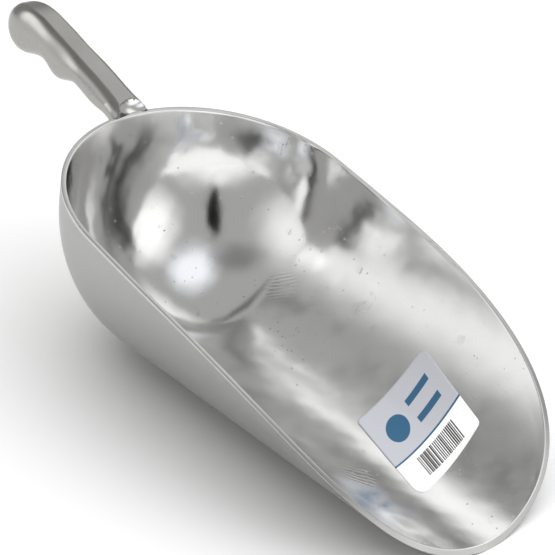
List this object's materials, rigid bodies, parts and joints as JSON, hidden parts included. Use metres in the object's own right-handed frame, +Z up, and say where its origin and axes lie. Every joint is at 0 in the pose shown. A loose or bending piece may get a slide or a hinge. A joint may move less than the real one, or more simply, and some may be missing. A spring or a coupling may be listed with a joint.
{
  "type": "scoop",
  "caption": "Cast aluminium scoop: round-backed half-pipe trough with a sloping rim, solid grip with finger hollows and a product label inside",
  "frame": {"origin": "bottom centre of the bounding box, on the table under the middle of the scoop", "axes": "+X from the grip towards the lip, +Y to the left, +Z up"},
  "size_m": [0.3945, 0.1864, 0.1388],
  "materials": {
    "cast_metal": "polished inside, satin outside",
    "label_film": "printed film"
  },
  "bodies": {
    "root": {"bowl": "cast_metal", "handle": "cast_metal", "label": "label_film"}
  },
  "joints": []
}
